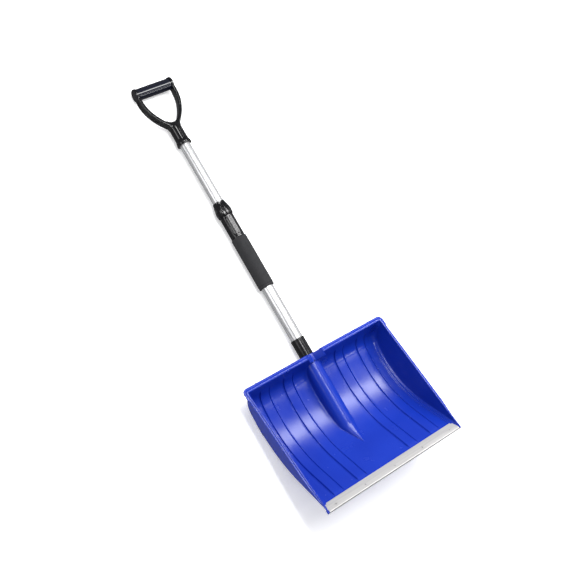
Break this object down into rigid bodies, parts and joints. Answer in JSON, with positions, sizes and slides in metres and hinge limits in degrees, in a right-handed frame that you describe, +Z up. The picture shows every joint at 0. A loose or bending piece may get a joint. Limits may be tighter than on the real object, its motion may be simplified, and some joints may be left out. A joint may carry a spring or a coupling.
{
  "type": "snow shovel",
  "caption": "Snow shovel with a deep moulded scoop, metal wear strip, telescoping tube handle with a twist-lock nut, foam grip and D-grip.",
  "frame": {"origin": "on the ground under the middle of the bounding box; the shovel lies face up", "axes": "+X across the scoop, +Y along the handle from the scoop's front edge to the D-grip, +Z up"},
  "size_m": [0.426, 1.1344, 0.1388],
  "materials": {
    "blue_plastic": "glossy blue moulded plastic",
    "strip_metal": "brushed",
    "tube_aluminium": "satin",
    "black_plastic": "semi-gloss",
    "gloss_black_plastic": "glossy",
    "bar_black_plastic": "semi-gloss",
    "white_plastic": "plain",
    "foam_rubber": "matt foam",
    "screw_steel": "plain"
  },
  "bodies": {
    "shovel": {"scoop": "blue_plastic", "wear_strip": "strip_metal", "strip_rivet_1": "tube_aluminium", "strip_rivet_2": "tube_aluminium", "strip_rivet_3": "tube_aluminium", "strip_rivet_4": "tube_aluminium", "strip_rivet_5": "tube_aluminium", "ferrule": "black_plastic", "lower_tube": "tube_aluminium", "tube_plug": "black_plastic", "socket_screw_1": "screw_steel", "socket_screw_2": "screw_steel", "foam_grip": "foam_rubber", "clamp_body": "black_plastic", "clamp_rivet": "tube_aluminium", "collet": "white_plastic"},
    "lock_nut": {"lock_nut": "black_plastic"},
    "slider": {"guide_bush": "white_plastic"},
    "upper": {"upper_tube": "tube_aluminium", "grip_frame": "gloss_black_plastic", "grip_bar": "bar_black_plastic", "bar_bolt": "screw_steel", "bar_nut": "screw_steel", "end_cap_left": "black_plastic", "end_cap_right": "black_plastic", "grip_screw": "screw_steel"}
  },
  "joints": [
    {"name": "handle_slide", "type": "slide", "parent": "shovel", "child": "slider", "axis": [0, 1, 0], "range_m": [-0.155, 0.11]},
    {"name": "handle_turn", "type": "hinge", "parent": "slider", "child": "upper", "pos_m": [0, 0.1637, 0.0217], "axis": [0, 1, 0], "continuous": true},
    {"name": "lock_nut_turn", "type": "hinge", "parent": "shovel", "child": "lock_nut", "pos_m": [0, 0.1712, 0.0217], "axis": [0, 1, 0], "range_deg": [0, 120]}
  ]
}
